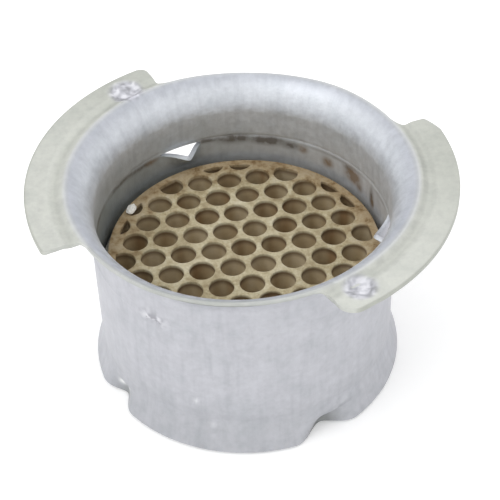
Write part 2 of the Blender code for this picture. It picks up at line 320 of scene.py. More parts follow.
# even columns, with the nearest ones moved to the lances' ends and the ears' roots
def cupColumns():
    angles = np.linspace(-180, 180, cup["columns"], endpoint=False)
    marks = [centre + side * share * lanceHalf for centre, share in lance["places"] for side in (-1, 1)]
    for ear in ears:
        marks += [ear["start"] - rootTurn, ear["end"] + rootTurn]
    for mark in marks:
        angles[np.argmin(np.abs(turnFrom(angles, mark)))] = turnFrom(mark, 0)
    return np.sort(angles)


# each lip is a blunt V, folded in from the cut above it
def lancePush(angle, z):
    drop = (lanceEdge - z) / lance["height"]
    push = np.zeros_like(angle)
    for centre, width in lance["places"]:
        across = turnFrom(angle, centre) / (width * lanceHalf) - lance["apex"]
        reach = np.where(across > 0, 1 - lance["apex"], 1 + lance["apex"])
        share = np.sqrt((np.abs(across) / reach) ** 2 + lance["blunt"] ** 2) - lance["blunt"]
        share = np.clip(1 - share / (sqrt(1 + lance["blunt"] ** 2) - lance["blunt"]), 0, 1)
        share = share ** np.where(across > 0, lance["longSide"], 1.0)
        push += lance["depth"] * width * share * np.clip(1 - drop, 0, 1) ** lance["fold"] * (drop > -0.01)
    return push


def pinchPush(angle, z):
    push = np.zeros_like(angle)
    for pinch in pinches:
        half = degrees(0.5 * pinch["width"] / (waistInner + cup["skirtFlare"]))
        height = np.clip(z / pinch["height"], 0, 1)
        across = np.abs(turnFrom(angle, pinch["angle"] + pinch["lean"] * z)) / half
        fold = np.cos(0.5 * pi * np.clip(across, 0, 1)) ** pinch["sharp"]
        push += pinch["depth"] * (1 - height ** 2) * fold
    return push


def cupSheet():
    rows, rimRow = cupRows()
    columns = cupColumns()
    radius = np.repeat(rows[:, :1], len(columns), axis=1)
    height = np.repeat(rows[:, 1:], len(columns), axis=1)
    angle = np.repeat(columns[None, :], len(rows), axis=0)
    # the columns near an ear's end follow its outline
    onEar = np.zeros(len(columns), bool)
    outer = radius[rimRow:, :]
    for ear in ears:
        middle, half = 0.5 * (ear["start"] + ear["end"]), 0.5 * (ear["end"] - ear["start"]) + rootTurn
        away = turnFrom(columns, middle)
        onEar |= np.abs(away) <= half + 0.001
        for side, corner, lean in zip((-1, 1), ear["corners"], ear["lean"]):
            inward = half - side * away
            weight = (1 - np.clip(inward, 0, None) / earBlend) ** 2
            weight = np.where((inward >= -0.001) & (inward < earBlend), weight, 0)
            angle[rimRow:, :] += side * weight * (endOffset(outer, corner, lean) - rootTurn)
    angle[rimRow, :] = columns
    # drawing line, lances and pinches
    wall = radius < crownRadius - 0.5
    fromLine = (earTop - cup["drawLineDepth"] - height) / cup["drawLineWidth"]
    radius = radius + np.where(wall, cup["drawLineGroove"] * np.exp(-fromLine ** 2), 0)
    lip = lancePush(angle, height)
    radius = radius - lip - np.where(height < cup["skirtHeight"], pinchPush(angle, height), 0)
    height = height - lance["swing"] * lip
    lowered = np.zeros_like(height)
    for bend in bends:
        across = np.clip(np.abs(turnFrom(angle, bend["angle"])) / bend["spread"], 0, 1)
        up = smoothStep((height - earTop + bend["below"]) / bend["below"])
        droop = np.cos(0.5 * pi * across) ** 1.5 * up
        radius = radius + bend["widen"] * droop
        lowered += bend["drop"] * droop
    turn = np.radians(angle)
    sheet = np.stack([radius * np.cos(turn), radius * np.sin(turn), height], axis=-1)
    # drawn sheet is never quite true
    points = sheet.reshape(-1, 3)
    warp = cup["warp"] * lumps(points, cup["warpSize"], 1)
    push = (warp + cup["hammer"] * lumps(points, cup["hammerSize"], 2)).reshape(radius.shape)
    lift = np.zeros_like(push)
    lift[rimRow - cup["liftRows"]:, :] = push[rimRow - cup["liftRows"]:, :] * cup["rimLift"]
    sideways = np.where(wall | (radius < crownRadius), push, 0)
    sheet[..., 0] += sideways * np.cos(turn)
    sheet[..., 1] += sideways * np.sin(turn)
    sheet[..., 2] += lift - lowered
    for detent in detents:
        centre = np.radians(detent["angle"])
        away = np.hypot(sheet[..., 0] - detent["radius"] * np.cos(centre),
                        sheet[..., 1] - detent["radius"] * np.sin(centre)) / detent["size"]
        slope = smoothStep((away - detentShape["floor"]) / (1 - detentShape["floor"]))
        dish = -detent["depth"] * (1 - slope)
        burr = detent["burr"] * np.exp(-((away - detentShape["burrAt"]) / detentShape["burrWidth"]) ** 2)
        sheet[rimRow:, :, 2] += (dish + burr)[rimRow:, :]
    wave = cup["edgeWave"] * (0.5 + 0.5 * lumps(sheet[0], cup["edgeWaveSize"], 3))
    sheet[..., 2] += wave[None, :] * np.clip(1 - height / cup["edgeWaveHeight"], 0, 1)
    mesh = meshFrom("burnerCup", sheet.reshape(-1, 3), cupFaces(rows, rimRow, columns, onEar))
    bm = bmesh.new()
    bm.from_mesh(mesh)
    bmesh.ops.delete(bm, geom=[vert for vert in bm.verts if not vert.link_faces], context="VERTS")
    bm.to_mesh(mesh)
    bm.free()
    return mesh


# every square between rows and columns, except in the lances' slots and between the ears
def cupFaces(rows, rimRow, columns, onEar):
    faces = []
    count = len(columns)
    nexts = [(j + 1) % count for j in range(count)]
    between = [columns[j] + 0.5 * turnFrom(columns[nexts[j]], columns[j]) for j in range(count)]
    inSlot = [any(abs(turnFrom(middle, centre)) < share * lanceHalf for centre, share in lance["places"])
              for middle in between]
    for i in range(len(rows) - 1):
        slotRow = lanceEdge < 0.5 * (rows[i, 1] + rows[i + 1, 1]) < lanceTop and i < rimRow
        for j, k in enumerate(nexts):
            offEar = i >= rimRow and not (onEar[j] and onEar[k])
            if not offEar and not (slotRow and inSlot[j]):
                faces.append((i * count + j, (i + 1) * count + j, (i + 1) * count + k, i * count + k))
    return faces


# heat stains on the inside of the wall: angle, depth below the ears, width, height and strength
stains = {
    "brown": [
        (92, 14.6, 3.8, 1.2, 1.5), (78, 15.1, 4.0, 1.1, 1.6), (69, 15.5, 2.0, 1.0, 1.4),
        (104, 14.3, 5.0, 0.7, 0.9), (85, 14.6, 9.0, 0.5, 0.75), (45, 14.6, 9.0, 0.5, 0.5),
        (150, 14.3, 10.0, 0.55, 0.85), (136, 14.6, 4.5, 0.8, 0.75), (172, 14.3, 10.0, 0.5, 0.9),
        (15, 14.8, 5.0, 0.5, 0.4), (24, 17.6, 0.8, 2.4, 0.95), (40, 15.4, 1.5, 0.8, 0.9),
    ],
    "rust": [
        (51, 17.0, 1.3, 1.3, 1.1), (37.0, 16.7, 2.2, 1.7, 1.3), (33.0, 18.4, 1.0, 1.2, 0.9),
        (23, 19.0, 0.7, 1.6, 0.8), (63, 15.8, 1.1, 1.0, 0.9), (130, 15.0, 1.6, 0.8, 0.7),
    ],
}
# painted glints: bright spots on the outside: angle, height, size and strength
paintedGlints = [
    (-151.5, 3.2, 0.8, 1.0), (-147.5, 2.4, 0.6, 0.9), (-110.0, 13.0, 0.5, 0.35),
    (-104.0, 6.5, 0.6, 0.2), (-96.0, 24.0, 0.5, 0.2),
]
# painted shade and highlight on the outside, round the third lance's dent
lanceDentShade = {"angle": -125.4, "depth": 13.9, "width": 2.6, "tall": 1.7}
# strengths from 0 to 1, the angles they lie at, and sizes in mm
wearAndShading = {
    "detentShine": 0.75, "crownHighlight": 0.12, "crownHighlightWidth": 0.42,
    "troughShade": 0.25, "troughShadeWidth": 0.8, "front": -105.0, "frontSpread": 42.0, "frontRimDarkening": 0.4,
    "dustyEnds": ((128.0, 24.0), (6.0, 28.0)), "dust": 0.34, "cutEdgeShade": 0.55,
    "foldDepth": 3.4, "foldCurve": 2.2, "mouthStart": 32.0, "mouthWidth": 3.2,
    "shadedSideAngle": 190.0, "insideTintShade": 0.46, "tintShadeStart": 5.5, "tintShadeFade": 6.0, "tintShadeUnderLine": 0.8,
    "outsideDarkening": 0.16, "outsideDarkTop": 17.0, "outsideDarkFade": 12.0,
}


# shares from 0 to 1 that the steel's material reads at each point
def markSheet(mesh, originalCount):
    co = np.zeros(len(mesh.vertices) * 3)
    mesh.vertices.foreach_get("co", co)
    co = co.reshape(-1, 3) / mm
    angle = np.degrees(np.arctan2(co[:, 1], co[:, 0]))
    reach = np.hypot(co[:, 0], co[:, 1])
    height = co[:, 2]
    depth = earTop - height
    inside = np.zeros(len(co))
    inside[:originalCount] = 1.0
    outside = 1 - inside
    marks = {"inside": inside}
    for name, spots in stains.items():
        share = np.zeros(len(co))
        for centre, down, width, tall, strength in spots:
            across = np.radians(turnFrom(angle, centre)) * cup["wallInner"] / width
            share = np.maximum(share, strength * np.exp(-across ** 2 - ((depth - down) / tall) ** 2))
        marks[name] = share * inside
    # painted highlight and shade in the detents' floors
    pressed = np.zeros(len(co))
    for detent in detents:
        centre = radians(detent["angle"])
        gap = np.hypot(co[:, 0] - detent["radius"] * cos(centre), co[:, 1] - detent["radius"] * sin(centre))
        pressed = np.maximum(pressed, 1 - smoothStep((gap / detent["size"] - 0.75) / 0.4))
    marks["detentHighlightShade"] = wearAndShading["detentShine"] * pressed * (height > earTop - 0.9)
    # painted highlight: a pale line along the crown
    fromCrown = (reach - crownRadius - 0.1) / wearAndShading["crownHighlightWidth"]
    paintedHighlight = wearAndShading["crownHighlight"] * np.exp(-fromCrown ** 2) * (depth < 0.4)
    # painted glints on the outside, as painted highlight
    for centre, up, size, strength in paintedGlints:
        gap = np.hypot(np.radians(turnFrom(angle, centre)) * reach, height - up)
        paintedHighlight = np.maximum(paintedHighlight, outside * strength * np.exp(-(gap / size) ** 2))
    marks["paintedHighlight"] = paintedHighlight
    # painted shade lies in the trough, along the ears' cut edge and in the pinches' folds; the rim is darker at
    # the front, and dust lies at the ears' ends
    fromTrough = (reach - crownRadius - cup["troughWidth"]) / wearAndShading["troughShadeWidth"]
    inTrough = np.exp(-fromTrough ** 2) * (depth < 0.9)
    onRim = smoothStep((reach - crownRadius + 0.6) / 0.5) * (reach < rimRadius + 0.4)
    atFront = np.abs(turnFrom(angle, wearAndShading["front"])) < wearAndShading["frontSpread"]
    atEnds = sum(np.exp(-(turnFrom(angle, centre) / spread) ** 2) for centre, spread in wearAndShading["dustyEnds"])
    cutEdge = smoothStep((reach - earRadius + 0.35) / 0.3)
    folded = np.clip(pinchPush(angle, np.clip(height, 0, None)) / wearAndShading["foldDepth"], 0, 1)
    marks["grimeAndShade"] = np.max([
        wearAndShading["troughShade"] * inTrough,
        wearAndShading["frontRimDarkening"] * onRim * atFront,
        wearAndShading["dust"] * atEnds * (reach > crownRadius + 0.8),
        wearAndShading["cutEdgeShade"] * cutEdge,
        outside * folded ** wearAndShading["foldCurve"] * (height < cup["skirtHeight"]),
    ], axis=0)
    # painted shade: the upper bell inside the mouth is tinted darker
    onMouth = smoothStep((reach - wearAndShading["mouthStart"]) / wearAndShading["mouthWidth"])
    onMouth = onMouth * (1 - smoothStep((reach - crownRadius + 0.2) / 0.8))
    marks["mouth"] = inside * onMouth * (depth < cup["bellHeight"])
    # heat tint and painted shade: darker down the inner wall, most of all below the drawing line, and on the
    # wall's left side; outside, darker low down at the front
    shade = 0.5 + 0.5 * np.cos(np.radians(turnFrom(angle, wearAndShading["shadedSideAngle"])))
    sunk = smoothStep((depth - wearAndShading["tintShadeStart"]) / wearAndShading["tintShadeFade"])
    sunk = sunk + wearAndShading["tintShadeUnderLine"] * smoothStep((depth - cup["drawLineDepth"] + 0.15) / 1.2)
    front = np.clip(np.cos(np.radians(turnFrom(angle, wearAndShading["front"]))), 0, 1)
    low = smoothStep((wearAndShading["outsideDarkTop"] - height) / wearAndShading["outsideDarkFade"])
    marks["heatTintAndShade"] = inside * sunk * wearAndShading["insideTintShade"] * shade + outside * wearAndShading["outsideDarkening"] * front * low
    # painted shade and highlight round the third lance
    across = np.radians(turnFrom(angle, lanceDentShade["angle"])) * cup["wallInner"] / lanceDentShade["width"]
    marks["lanceDentShade"] = outside * np.exp(-across ** 2 - ((depth - lanceDentShade["depth"]) / lanceDentShade["tall"]) ** 2)
    for name, values in marks.items():
        attribute = mesh.attributes.new(name, "FLOAT", "POINT")
        attribute.data.foreach_set("value", values.astype(np.float32))


steelTones = {
    "cloud": ((0.34, "#E5E6E7"), (0.52, "#ECECED"), (0.70, "#F1F1F2")),
    "mottle": ((0.32, "#E4E4E5"), (0.64, "#FFFFFF")),
    "streak": ((0.30, "#DCDCDE"), (0.52, "#F6F6F6"), (0.74, "#FFFFFF")),
    "detentHighlightShade": ((0.34, "#8A8A94"), (0.50, "#BDBDC8"), (0.66, "#E6E6EE")),
    "lanceDentShade": ((0.40, "#9A9AA0"), (0.52, "#C2C2C8"), (0.62, "#DCDCE0")),
    "outside": "#D1D2D7", "inside": "#F5F9FE", "ear": "#DADCD4", "mouth": "#DCDCDF",
    "grimeAndShade": "#C4C6C0", "paintedHighlight": "#FFFFFF", "heatTintAndShade": "#ABB1AB", "brown": "#574B3E", "rust": "#8A6C46",
}
# each pattern's lump in mm, its detail, its roughness and its distortion
steelPatterns = {
    "cloud": (6.0, 5.0, 0.65, 0.0), "mottle": (1.6, 4.0, 0.62, 0.0), "streak": (1.5, 3.0, 0.6, 0.0),
    "grain": (0.5, 2.0, 0.5, 0.0), "dimple": (1.7, 1.5, 0.5, 0.3),
}
# streaks run down the wall, which counts for only a little of their height, and fade over the bell;
# the ears' paler tint, painted light, comes in past the crown: both as from and to, in mm from the axis
streaks = {"radius": 31, "height": 0.09, "strength": 0.32, "fade": (34, 36)}
earTint = (35.0, 36.6)


def aluminisedSteel():
    # steel sheet dipped in aluminium-silicon, then deep drawn: a pale satin grey with soft cloudy
    # spangle, faint vertical draw marks on the wall, and an olive heat tint that deepens into painted shade
    # inside.
    # The dull oxide skin scatters most of the light, so it counts as only partly metallic
    material, tree, shader = newMaterial("aluminisedSteel")
    spot = addNode(tree, "TexCoord").outputs["Object"]
    parts = addNode(tree, "SeparateXYZ", {0: spot})
    flat = addNode(tree, "CombineXYZ", {"X": parts.outputs["X"], "Y": parts.outputs["Y"]})
    away = addNode(tree, "VectorMath", {0: flat}, operation="LENGTH")
    # draw marks: the same all along the height of the wall, and changing round it
    heading = addNode(tree, "VectorMath", {0: flat}, operation="NORMALIZE")
    low = addNode(tree, "Math", {0: parts.outputs["Z"], 1: streaks["height"]}, operation="MULTIPLY")
    rise = addNode(tree, "CombineXYZ", {"Z": low})
    ring = addNode(tree, "VectorMath", {0: heading, "Scale": streaks["radius"] * mm}, operation="SCALE")
    drawn = addNode(tree, "VectorMath", {0: ring, 1: rise}, operation="ADD")
    pattern = {}
    for name, (lump, detail, roughness, distortion) in steelPatterns.items():
        where = drawn if name == "streak" else spot
        pattern[name] = addNode(tree, "TexNoise", {
            "Vector": where, "Scale": 1 / (lump * mm), "Detail": detail, "Roughness": roughness,
            "Distortion": distortion})
    tone = {}
    for name, source in (("cloud", "cloud"), ("mottle", "mottle"), ("streak", "streak"),
                         ("detentHighlightShade", "dimple"), ("lanceDentShade", "dimple")):
        tone[name] = addNode(tree, "ValToRGB", {"Fac": pattern[source]}, stops=steelTones[name])
    clouds = addNode(tree, "Mix", {0: 0.6, 6: tone["cloud"], 7: tone["mottle"]}, **tinting)
    near, far = streaks["fade"]
    onWall = addNode(tree, "MapRange", {
        "Value": away, 1: near * mm, 2: far * mm, 3: streaks["strength"], 4: 0.0})
    bare = addNode(tree, "Mix", {0: onWall, 6: clouds, 7: tone["streak"]}, **tinting)
    # painted light: the one sheet is tinted much lighter inside the cup than outside, and paler on the ears
    inside = addNode(tree, "Attribute", attribute_name="inside")
    wallTint = addNode(tree, "Mix", {
        0: inside.outputs["Fac"], 6: steelTones["outside"], 7: steelTones["inside"]}, **covering)
    onEar = addNode(tree, "MapRange", {"Value": away, 1: earTint[0] * mm, 2: earTint[1] * mm})
    tint = addNode(tree, "Mix", {0: onEar, 6: wallTint, 7: steelTones["ear"]}, **covering)
    coat = addNode(tree, "Mix", {0: 1.0, 6: bare, 7: tint}, **tinting)
    # the upper bell is darkened as painted shade, grime and painted shade darken the trough, edges and pinches,
    # painted highlight lightens the crown and glints, and the wall takes heat tint with painted shade
    for name, way in (("mouth", tinting), ("grimeAndShade", tinting), ("paintedHighlight", covering), ("heatTintAndShade", tinting)):
        share = addNode(tree, "Attribute", attribute_name=name)
        coat = addNode(tree, "Mix", {0: share.outputs["Fac"], 6: coat, 7: steelTones[name]}, **way)
    # painted highlight and shade: small bright and dark facets in the detents and round the third lance
    for name in ("detentHighlightShade", "lanceDentShade"):
        share = addNode(tree, "Attribute", attribute_name=name)
        coat = addNode(tree, "Mix", {0: share.outputs["Fac"], 6: coat, 7: tone[name]}, **covering)
    # stains, torn into patches by the cloud and the mottle
    blotch = addNode(tree, "Math", {0: pattern["cloud"], 1: pattern["mottle"]}, operation="ADD")
    torn = addNode(tree, "Math", {0: blotch, 1: 2.3, 2: -1.3}, operation="MULTIPLY_ADD")
    for name, edge in (("brown", 0.5), ("rust", 0.42)):
        share = addNode(tree, "Attribute", attribute_name=name)
        patch = addNode(tree, "Math", {0: share.outputs["Fac"], 1: torn}, operation="MULTIPLY")
        cover = addNode(tree, "MapRange", {"Value": patch, 1: edge * 0.12, 2: edge * 2.1, 3: 0.0, 4: 0.76})
        coat = addNode(tree, "Mix", {0: cover, 6: coat, 7: steelTones[name]}, **covering)
    sheen = addNode(tree, "MapRange", {"Value": pattern["mottle"], 1: 0.3, 2: 0.7, 3: 0.40, 4: 0.56})
    relief = addNode(tree, "Math", {0: pattern["grain"], 1: pattern["mottle"]}, operation="ADD")
    bump = addNode(tree, "Bump", {"Height": relief, "Strength": 0.35, "Distance": 0.10 * mm})
    feed(tree, shader, {"Base Color": coat, "Metallic": 0.6, "Roughness": sheen, "Normal": bump})
    return material


def makeBurnerCup():
    piece = newPiece("burnerCup", cupSheet())
    count = len(piece.data.vertices)
    wall = piece.modifiers.new("sheet", "SOLIDIFY")
    wall.thickness = cup["sheet"] * mm
    wall.offset = -1.0
    wall.use_even_offset = True
    bakeModifiers(piece)
    markSheet(piece.data, count)
    soft = piece.modifiers.new("cutEdges", "BEVEL")
    soft.width = cup["edgeRound"] * mm
    soft.segments = 2
    soft.limit_method = "ANGLE"
    soft.angle_limit = radians(50)
    soft.use_clamp_overlap = True
    bakeModifiers(piece)
    piece.data.shade_smooth()
    piece.data.materials.clear()
    piece.data.materials.append(aluminisedSteel())
    attach(piece, "burner_cup")


makeBurnerCup()


# honeycomb disc
discLow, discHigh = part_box("honeycomb_disc")
disc = {
    "pitch": 6.48, "hole": 5.32, "mouth": 0.24, "rowAngle": 7.4, "shiftAcross": 2.35, "shiftBack": 6.1,
    "skin": 1.7, "partHoles": 1.55, "anchorInset": 0.3, "offCentre": 0.1, "grow": 0.45, "tilt": 0.3,
    "jitter": 0.07, "jitterSeed": 4, "spread": 0.018, "spreadSeed": 9, "unevenness": 0.14, "waveSize": 3.5,
    "rows": 19, "sides": 32, "skinSides": 144, "tubeCuts": 8, "weld": 0.004,
}
ceramicTones = {
    "lands": ((0.30, "#ABA085"), (0.52, "#BFB69B"), (0.75, "#CDC5AD")), "skin": "#A6957A",
    "sand": ((0.32, "#D2CEC4"), (0.62, "#FFFFFF")),
    "scorch": ((0.30, "#A68C66"), (0.50, "#F0EADD"), (0.62, "#FFFFFF")),
    "bore": ((0.06, "#75644A"), (0.20, "#80705A"), (0.44, "#BAAB8E"), (1.0, "#D0C2A4")),
    "fired": ((0.34, "#C2AE98"), (0.50, "#EAE4DA"), (0.62, "#FFFFFF")),
}


def cordierite():
    # extruded and fired cordierite ceramic: matt and chalky, warm sand on the lands and a browner
    # tan inside the holes, where the burnt gas has coloured it, with a painted shadow band just under each mouth
    material, tree, shader = newMaterial("cordieriteCeramic")
    spot = addNode(tree, "TexCoord").outputs["Object"]
    parts = addNode(tree, "SeparateXYZ", {0: spot})
    cloud = addNode(tree, "TexNoise", {
        "Vector": spot, "Scale": 1 / (9 * mm), "Detail": 4.0, "Roughness": 0.6})
    grain = addNode(tree, "TexNoise", {
        "Vector": spot, "Scale": 1 / (0.5 * mm), "Detail": 3.0, "Roughness": 0.6})
    lands = addNode(tree, "ValToRGB", {"Fac": cloud}, stops=ceramicTones["lands"])
    sand = addNode(tree, "ValToRGB", {"Fac": grain}, stops=ceramicTones["sand"])
    top = addNode(tree, "Mix", {0: 0.6, 6: lands, 7: sand}, **tinting)
    burn = addNode(tree, "TexNoise", {
        "Vector": spot, "Scale": 1 / (2.2 * mm), "Detail": 4.0, "Roughness": 0.7})
    scorch = addNode(tree, "ValToRGB", {"Fac": burn}, stops=ceramicTones["scorch"])
    plan = addNode(tree, "CombineXYZ", {"X": parts.outputs["X"], "Y": parts.outputs["Y"]})
    reach = addNode(tree, "VectorMath", {0: plan}, operation="LENGTH")
    # browner towards the skin, scorched most there, and darkest just inside the holes, as a painted shadow under
    # each mouth
    skin = addNode(tree, "MapRange", {"Value": reach, 1: 21 * mm, 2: 28 * mm})
    toasted = addNode(tree, "Mix", {0: skin, 6: top, 7: ceramicTones["skin"]}, **covering)
    charring = addNode(tree, "MapRange", {"Value": reach, 1: 12 * mm, 2: 28 * mm, 3: 0.45, 4: 0.95})
    scorched = addNode(tree, "Mix", {0: charring, 6: toasted, 7: scorch}, **tinting)
    down = addNode(tree, "MapRange", {
        "Value": parts.outputs["Z"], 1: discHigh.z - 0.3 * mm, 2: discHigh.z - 4.3 * mm})
    bore = addNode(tree, "ValToRGB", {"Fac": down}, stops=ceramicTones["bore"])
    fired = addNode(tree, "TexNoise", {
        "Vector": plan, "Scale": 1 / (8 * mm), "Detail": 2.0, "Roughness": 0.7})
    uneven = addNode(tree, "ValToRGB", {"Fac": fired}, stops=ceramicTones["fired"])
    browned = addNode(tree, "Mix", {0: 1.0, 6: bore, 7: uneven}, **tinting)
    hole = addNode(tree, "MapRange", {
        "Value": parts.outputs["Z"], 1: discHigh.z - 0.35 * mm, 2: discHigh.z - 0.8 * mm})
    tan = addNode(tree, "Mix", {0: hole, 6: scorched, 7: browned}, **covering)
    bump = addNode(tree, "Bump", {"Height": grain, "Strength": 0.5, "Distance": 0.15 * mm})
    feed(tree, shader, {
        "Base Color": tan, "Roughness": 0.92, "IOR": 1.55, "Specular IOR Level": 0.2, "Normal": bump})
    return material


# Geometry Nodes: a sheared grid of points makes the close-packed rows; each point takes a flared
# tube, and the flat faces are filled between the tubes' mouths and the skin
def honeycombTree(material):
    tree = bpy.data.node_groups.new("honeycombDisc", "GeometryNodeTree")
    face = tree.interface
    face.new_socket("Geometry", in_out="OUTPUT", socket_type="NodeSocketGeometry")
    sizes = {
        "Pitch": disc["pitch"] * mm, "Hole Radius": 0.5 * disc["hole"] * mm, "Mouth": disc["mouth"] * mm,
        "Row Angle": radians(disc["rowAngle"]), "Shift Across": disc["shiftAcross"] * mm,
        "Shift Back": disc["shiftBack"] * mm, "Radius": discHigh.x + disc["grow"] * mm,
        "Skin": disc["skin"] * mm, "Thickness": discHigh.z - discLow.z,
        "Jitter": disc["jitter"] * mm, "Spread": disc["spread"],
        "Unevenness": disc["unevenness"] * mm, "Part Holes": disc["partHoles"] * mm,
        "Middle Height": 0.5 * (discHigh.z + discLow.z),
    }
    for name in sizes:
        face.new_socket(name, in_out="INPUT", socket_type="NodeSocketFloat")
    given = tree.nodes.new("NodeGroupInput").outputs
    half = addNode(tree, "Math", {0: given["Thickness"], 1: 0.5}, operation="MULTIPLY")
    core = addNode(tree, "Math", {0: given["Radius"], 1: given["Skin"]}, operation="SUBTRACT")
    # whole-number grid, sheared into close-packed rows, turned and shifted
    size = disc["rows"] - 1
    grid = addNode(tree, "GeometryNodeMeshGrid", {
        "Size X": size, "Size Y": size, "Vertices X": disc["rows"], "Vertices Y": disc["rows"]})
    spot = addNode(tree, "GeometryNodeInputPosition")
    split = addNode(tree, "SeparateXYZ", {0: spot})
    lean = addNode(tree, "Math", {
        0: split.outputs["Y"], 1: 0.5, 2: split.outputs["X"]}, operation="MULTIPLY_ADD")
    tall = addNode(tree, "Math", {0: split.outputs["Y"], 1: sqrt(3) / 2}, operation="MULTIPLY")
    packed = addNode(tree, "CombineXYZ", {"X": lean, "Y": tall})
    scaled = addNode(tree, "VectorMath", {0: packed, "Scale": given["Pitch"]}, operation="SCALE")
    turned = addNode(tree, "VectorRotate", {
        "Vector": scaled, "Angle": given["Row Angle"]}, rotation_type="Z_AXIS")
    shift = addNode(tree, "CombineXYZ", {"X": given["Shift Across"], "Y": given["Shift Back"]})
    shifted = addNode(tree, "VectorMath", {0: turned, 1: shift}, operation="ADD")
    loose = addNode(tree, "FunctionNodeRandomValue", {
        0: (-1, -1, 0), 1: (1, 1, 0), "Seed": disc["jitterSeed"]}, data_type="FLOAT_VECTOR")
    stray = addNode(tree, "VectorMath", {0: loose, "Scale": given["Jitter"]}, operation="SCALE")
    final = addNode(tree, "VectorMath", {0: shifted, 1: stray}, operation="ADD")
    rows = addNode(tree, "GeometryNodeSetPosition", {"Geometry": grid, "Position": final})
    reach = addNode(tree, "VectorMath", {0: spot}, operation="LENGTH")
    limit = addNode(tree, "Math", {0: core, 1: given["Part Holes"]}, operation="ADD")
    past = addNode(tree, "FunctionNodeCompare", {
        0: reach, 1: limit}, data_type="FLOAT", operation="GREATER_THAN")
    inReach = addNode(tree, "GeometryNodeDeleteGeometry", {
        "Geometry": rows, "Selection": past}, domain="POINT")
    # each hole remembers a point inside the skin, which its trimmed edge is drawn towards
    inner = addNode(tree, "Math", {0: core, 1: disc["anchorInset"] * mm}, operation="SUBTRACT")
    pull = addNode(tree, "Math", {0: inner, 1: reach}, operation="DIVIDE")
    nearer = addNode(tree, "Math", {0: pull, 1: 1.0}, operation="MINIMUM")
    anchor = addNode(tree, "VectorMath", {0: spot, "Scale": nearer}, operation="SCALE")
    centres = addNode(tree, "GeometryNodeStoreNamedAttribute", {
        "Geometry": inReach, "Name": "anchor", "Value": anchor}, data_type="FLOAT_VECTOR", domain="POINT")

    # a tube with rounded mouths at both ends; flare is +1 for a hole and -1 for the skin's own edge
    def roundedTube(radius, sides, flare):
        tube = addNode(tree, "GeometryNodeMeshCylinder", {
            "Vertices": sides, "Side Segments": disc["tubeCuts"], "Radius": 1.0, "Depth": 2.0},
            fill_type="NONE")
        xyz = addNode(tree, "SeparateXYZ", {0: spot})
        level = addNode(tree, "Math", {0: xyz.outputs["Z"]}, operation="ABSOLUTE")
        turn = addNode(tree, "MapRange", {"Value": level, 1: 0.25, 2: 1.0, 3: 0.0, 4: 0.5 * pi})
        up = addNode(tree, "Math", {0: turn}, operation="SINE")
        out = addNode(tree, "Math", {0: turn}, operation="COSINE")
        straight = addNode(tree, "Math", {0: half, 1: given["Mouth"]}, operation="SUBTRACT")
        rise = addNode(tree, "Math", {0: up, 1: given["Mouth"], 2: straight}, operation="MULTIPLY_ADD")
        way = addNode(tree, "Math", {0: xyz.outputs["Z"]}, operation="SIGN")
        z = addNode(tree, "Math", {0: rise, 1: way}, operation="MULTIPLY")
        gone = addNode(tree, "Math", {0: 1.0, 1: out}, operation="SUBTRACT")
        wide = addNode(tree, "Math", {0: gone, 1: given["Mouth"]}, operation="MULTIPLY")
        signed = addNode(tree, "Math", {0: wide, 1: flare, 2: radius}, operation="MULTIPLY_ADD")
        x = addNode(tree, "Math", {0: xyz.outputs["X"], 1: signed}, operation="MULTIPLY")
        y = addNode(tree, "Math", {0: xyz.outputs["Y"], 1: signed}, operation="MULTIPLY")
        point = addNode(tree, "CombineXYZ", {"X": x, "Y": y, "Z": z})
        return addNode(tree, "GeometryNodeSetPosition", {
            "Geometry": tube.outputs["Mesh"], "Position": point})

    hole = addNode(tree, "GeometryNodeFlipFaces", {
        0: roundedTube(given["Hole Radius"], disc["sides"], 1.0)})
    smallest = addNode(tree, "Math", {0: 1.0, 1: given["Spread"]}, operation="SUBTRACT")
    largest = addNode(tree, "Math", {0: 1.0, 1: given["Spread"]}, operation="ADD")
    girth = addNode(tree, "FunctionNodeRandomValue", {
        2: smallest, 3: largest, "Seed": disc["spreadSeed"]}, data_type="FLOAT")
    scale = addNode(tree, "CombineXYZ", {"X": girth, "Y": girth, "Z": 1.0})
    spread = addNode(tree, "GeometryNodeInstanceOnPoints", {
        "Points": centres, "Instance": hole, "Scale": scale})
    tubes = addNode(tree, "GeometryNodeRealizeInstances", {0: spread})
    # holes that cross the skin stop at it: along the line from the anchor, at the skin's circle
    xyz = addNode(tree, "SeparateXYZ", {0: spot})
    plan = addNode(tree, "CombineXYZ", {"X": xyz.outputs["X"], "Y": xyz.outputs["Y"]})
    held = addNode(tree, "GeometryNodeInputNamedAttribute", {"Name": "anchor"}, data_type="FLOAT_VECTOR")
    way = addNode(tree, "VectorMath", {0: plan, 1: held}, operation="SUBTRACT")
    along = addNode(tree, "VectorMath", {0: held, 1: way}, operation="DOT_PRODUCT")
    waySquare = addNode(tree, "VectorMath", {0: way, 1: way}, operation="DOT_PRODUCT")
    heldSquare = addNode(tree, "VectorMath", {0: held, 1: held}, operation="DOT_PRODUCT")
    coreSquare = addNode(tree, "Math", {0: core, 1: core}, operation="MULTIPLY")
    room = addNode(tree, "Math", {0: coreSquare, 1: heldSquare}, operation="SUBTRACT")
    product = addNode(tree, "Math", {0: room, 1: waySquare}, operation="MULTIPLY")
    square = addNode(tree, "Math", {0: along, 1: along, 2: product}, operation="MULTIPLY_ADD")
    root = addNode(tree, "Math", {0: square}, operation="SQRT")
    above = addNode(tree, "Math", {0: root, 1: along}, operation="SUBTRACT")
    share = addNode(tree, "Math", {0: above, 1: waySquare}, operation="DIVIDE")
    trim = addNode(tree, "Math", {0: share, 1: 1.0}, operation="MINIMUM")
    cut = addNode(tree, "VectorMath", {0: way, "Scale": trim}, operation="SCALE")
    landed = addNode(tree, "VectorMath", {0: held, 1: cut}, operation="ADD")
    level = addNode(tree, "CombineXYZ", {"Z": xyz.outputs["Z"]})
